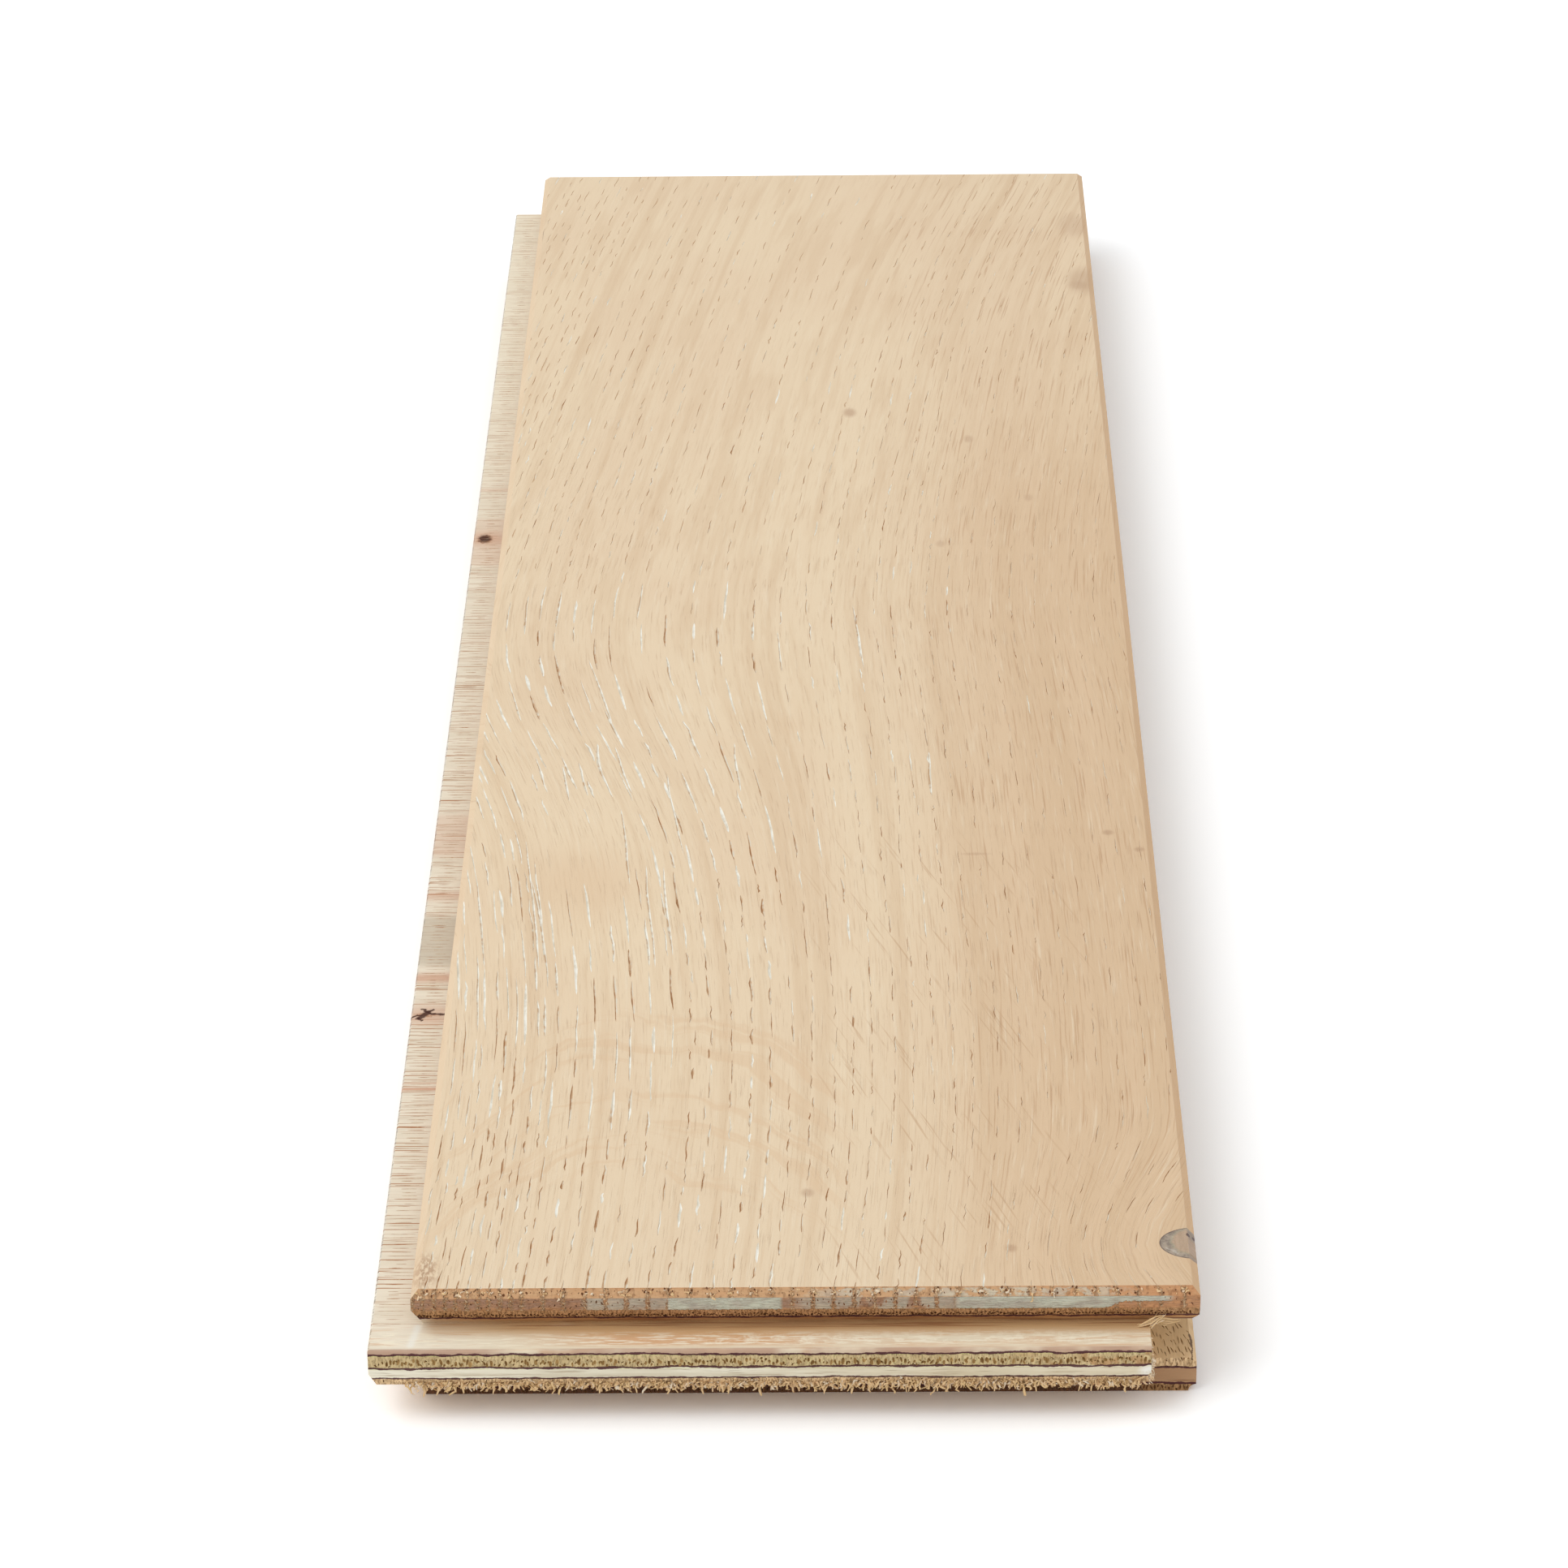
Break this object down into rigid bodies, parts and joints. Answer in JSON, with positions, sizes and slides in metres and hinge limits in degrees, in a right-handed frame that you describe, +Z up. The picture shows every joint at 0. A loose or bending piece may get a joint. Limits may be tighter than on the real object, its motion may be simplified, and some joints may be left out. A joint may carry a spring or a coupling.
{
  "type": "herringbone parquet block",
  "caption": "Engineered oak parquet block: bevelled oak face on a cross-laid ply core, tongue along a long side and an end, groove along the others.",
  "frame": {"origin": "centre of the whole block, tongues included, at its underside", "axes": "+Y along the block from the tongued end to the grooved end, +X across it from the tongued side to the grooved side, +Z up out of the oak face"},
  "size_m": [0.0948, 0.3548, 0.0145],
  "materials": {
    "oak": "raw, brushed, matt",
    "filler": "sanded flush",
    "long_grain_ply": "sawn",
    "cross_grain_ply": "sawn"
  },
  "bodies": {
    "root": {"oak_wear_layer": "oak", "knot_filler": "filler", "ply_1": "long_grain_ply", "ply_2": "cross_grain_ply", "ply_3": "long_grain_ply", "ply_4": "cross_grain_ply", "ply_5": "long_grain_ply", "ply_6": "cross_grain_ply", "ply_7": "long_grain_ply"}
  },
  "joints": []
}
